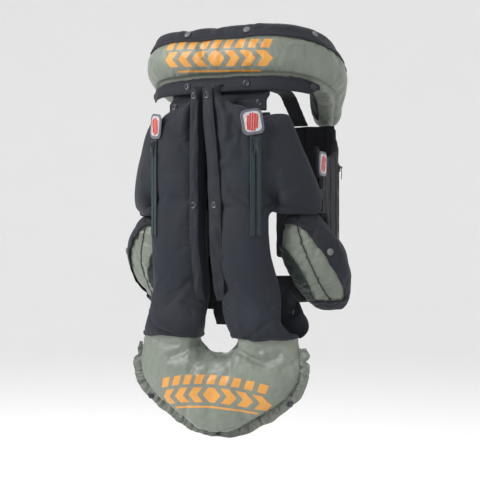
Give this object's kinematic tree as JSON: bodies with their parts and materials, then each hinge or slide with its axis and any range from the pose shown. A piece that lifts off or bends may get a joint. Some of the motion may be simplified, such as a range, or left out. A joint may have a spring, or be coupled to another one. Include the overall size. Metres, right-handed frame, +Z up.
{
  "type": "wearable airbag vest",
  "caption": "Wearable airbag vest in its inflated state: horseshoe neck collar, back lobes, hip bags and tail bag around a harness with buckles, zips and a gas inflator.",
  "frame": {"origin": "centre of the wearer's neck opening at the level where the collar rests on the shoulders", "axes": "+X towards the wearer's right, +Y the way the wearer faces, +Z up the spine"},
  "size_m": [0.4718, 0.3749, 0.7808],
  "materials": {
    "airbag_cloth": "urethane-coated nylon, sage grey-green, slight sheen",
    "airbag_hem": "single-ply coated nylon hem, ruffled",
    "airbag_film": "heat-sealed bladder cloth",
    "cover_cloth": "black woven polyester",
    "stretch_cloth": "black knitted stretch cloth, matt",
    "dark_mesh": "dark green-black spacer mesh",
    "padded_mesh": "black spacer mesh over foam",
    "webbing": "black polyester webbing",
    "zip_tape": "teal-grey coil zip",
    "zip_metal": "dark enamelled zinc",
    "snap_cap_plastic": "dark grey moulded caps",
    "snap_metal": "gunmetal",
    "label_vinyl": "clear vinyl pocket over a plain printed card",
    "buckle_plastic": "black acetal",
    "inflator_metal": "anodised dark grey",
    "steel": "turned steel",
    "key_plastic": "red nylon",
    "cartridge_steel": "grey zinc-plated steel",
    "hose_rubber": "black hose"
  },
  "bodies": {
    "vest": {"collar_bag": "airbag_cloth", "collar_top_flap": "cover_cloth", "collar_bottom_flap": "cover_cloth", "collar_sleeve": "dark_mesh", "yoke": "cover_cloth", "inner_back_panel": "padded_mesh", "lumbar_pad": "padded_mesh", "hem_tab": "cover_cloth", "tail_bag": "airbag_cloth", "tail_hem_flap": "airbag_hem", "waist_belt": "webbing", "inflator_body": "inflator_metal", "firing_spring": "steel", "cartridge_pouch": "cover_cloth", "gas_hose": "hose_rubber", "side_straps": "webbing", "snap_caps": "snap_cap_plastic", "snap_rings": "snap_metal", "label_pockets": "label_vinyl", "buckle_sockets": "buckle_plastic", "ladder_locks": "buckle_plastic", "socket_straps": "webbing", "right_shoulder_strap": "webbing", "right_back_cover": "stretch_cloth", "right_back_bladder": "airbag_film", "right_wing_cover": "stretch_cloth", "right_placket": "cover_cloth", "right_side_flap": "cover_cloth", "right_hip_bag": "airbag_cloth", "right_hip_cover": "cover_cloth", "right_hip_lining": "dark_mesh", "right_front_panel": "stretch_cloth", "right_back_zip": "zip_tape", "right_front_zip": "zip_tape", "left_shoulder_strap": "webbing", "left_back_cover": "stretch_cloth", "left_back_bladder": "airbag_film", "left_wing_cover": "stretch_cloth", "left_placket": "cover_cloth", "left_side_flap": "cover_cloth", "left_hip_bag": "airbag_cloth", "left_hip_cover": "cover_cloth", "left_hip_lining": "dark_mesh", "left_front_panel": "stretch_cloth", "left_back_zip": "zip_tape", "left_front_zip": "zip_tape"},
    "firing_pin": {"firing_pin": "steel"},
    "release_key": {"release_key": "key_plastic"},
    "gas_cartridge": {"gas_cartridge": "cartridge_steel"},
    "right_back_zip_slider": {"right_back_zip_slider": "zip_metal"},
    "right_back_zip_pull": {"right_back_zip_pull": "zip_metal"},
    "right_front_zip_slider": {"right_front_zip_slider": "zip_metal"},
    "right_front_zip_pull": {"right_front_zip_pull": "zip_metal"},
    "left_back_zip_slider": {"left_back_zip_slider": "zip_metal"},
    "left_back_zip_pull": {"left_back_zip_pull": "zip_metal"},
    "left_front_zip_slider": {"left_front_zip_slider": "zip_metal"},
    "left_front_zip_pull": {"left_front_zip_pull": "zip_metal"},
    "chest_buckle_plug": {"chest_buckle_plug": "buckle_plastic"},
    "belly_buckle_plug": {"belly_buckle_plug": "buckle_plastic"},
    "waist_buckle_plug": {"waist_buckle_plug": "buckle_plastic"}
  },
  "joints": [
    {"name": "right_back_zip_slide", "type": "slide", "parent": "vest", "child": "right_back_zip_slider", "axis": [0, 0, -1], "range_m": [0, 0.158]},
    {"name": "right_back_zip_pull_hinge", "type": "hinge", "parent": "right_back_zip_slider", "child": "right_back_zip_pull", "pos_m": [0.10981, -0.17385, -0.121], "axis": [-0.8387, -0.5446, 0], "range_deg": [0, 150]},
    {"name": "right_front_zip_slide", "type": "slide", "parent": "vest", "child": "right_front_zip_slider", "axis": [0, 0, -1], "range_m": [0, 0.144]},
    {"name": "right_front_zip_pull_hinge", "type": "hinge", "parent": "right_front_zip_slider", "child": "right_front_zip_pull", "pos_m": [0.17538, 0.09762, -0.158], "axis": [0.342, -0.9397, 0], "range_deg": [0, 150]},
    {"name": "left_back_zip_slide", "type": "slide", "parent": "vest", "child": "left_back_zip_slider", "axis": [0, 0, -1], "range_m": [0, 0.158]},
    {"name": "left_back_zip_pull_hinge", "type": "hinge", "parent": "left_back_zip_slider", "child": "left_back_zip_pull", "pos_m": [-0.10981, -0.17385, -0.121], "axis": [-0.8387, 0.5446, 0], "range_deg": [0, 150]},
    {"name": "left_front_zip_slide", "type": "slide", "parent": "vest", "child": "left_front_zip_slider", "axis": [0, 0, -1], "range_m": [0, 0.144]},
    {"name": "left_front_zip_pull_hinge", "type": "hinge", "parent": "left_front_zip_slider", "child": "left_front_zip_pull", "pos_m": [-0.17538, 0.09762, -0.158], "axis": [0.342, 0.9397, 0], "range_deg": [0, 150]},
    {"name": "chest_buckle_slide", "type": "slide", "parent": "vest", "child": "chest_buckle_plug", "axis": [1, 0, 0], "range_m": [0, 0.03]},
    {"name": "belly_buckle_slide", "type": "slide", "parent": "vest", "child": "belly_buckle_plug", "axis": [1, 0, 0], "range_m": [0, 0.03]},
    {"name": "waist_buckle_slide", "type": "slide", "parent": "vest", "child": "waist_buckle_plug", "axis": [1, 0, 0], "range_m": [0, 0.03]},
    {"name": "release_key_pull", "type": "slide", "parent": "vest", "child": "release_key", "axis": [0, 1, 0], "range_m": [0, 0.03]},
    {"name": "firing_pin_slide", "type": "slide", "parent": "vest", "child": "firing_pin", "axis": [0, 0, -1], "range_m": [0, 0.006], "deforming": ["firing_spring"]},
    {"name": "cartridge_turn", "type": "hinge", "parent": "vest", "child": "gas_cartridge", "pos_m": [0.124, 0.155, -0.29], "axis": [0, 0, 1], "continuous": true}
  ],
  "couplings": [
    {"joint": "firing_pin_slide", "follows": "release_key_pull", "ratio": 0.2}
  ]
}
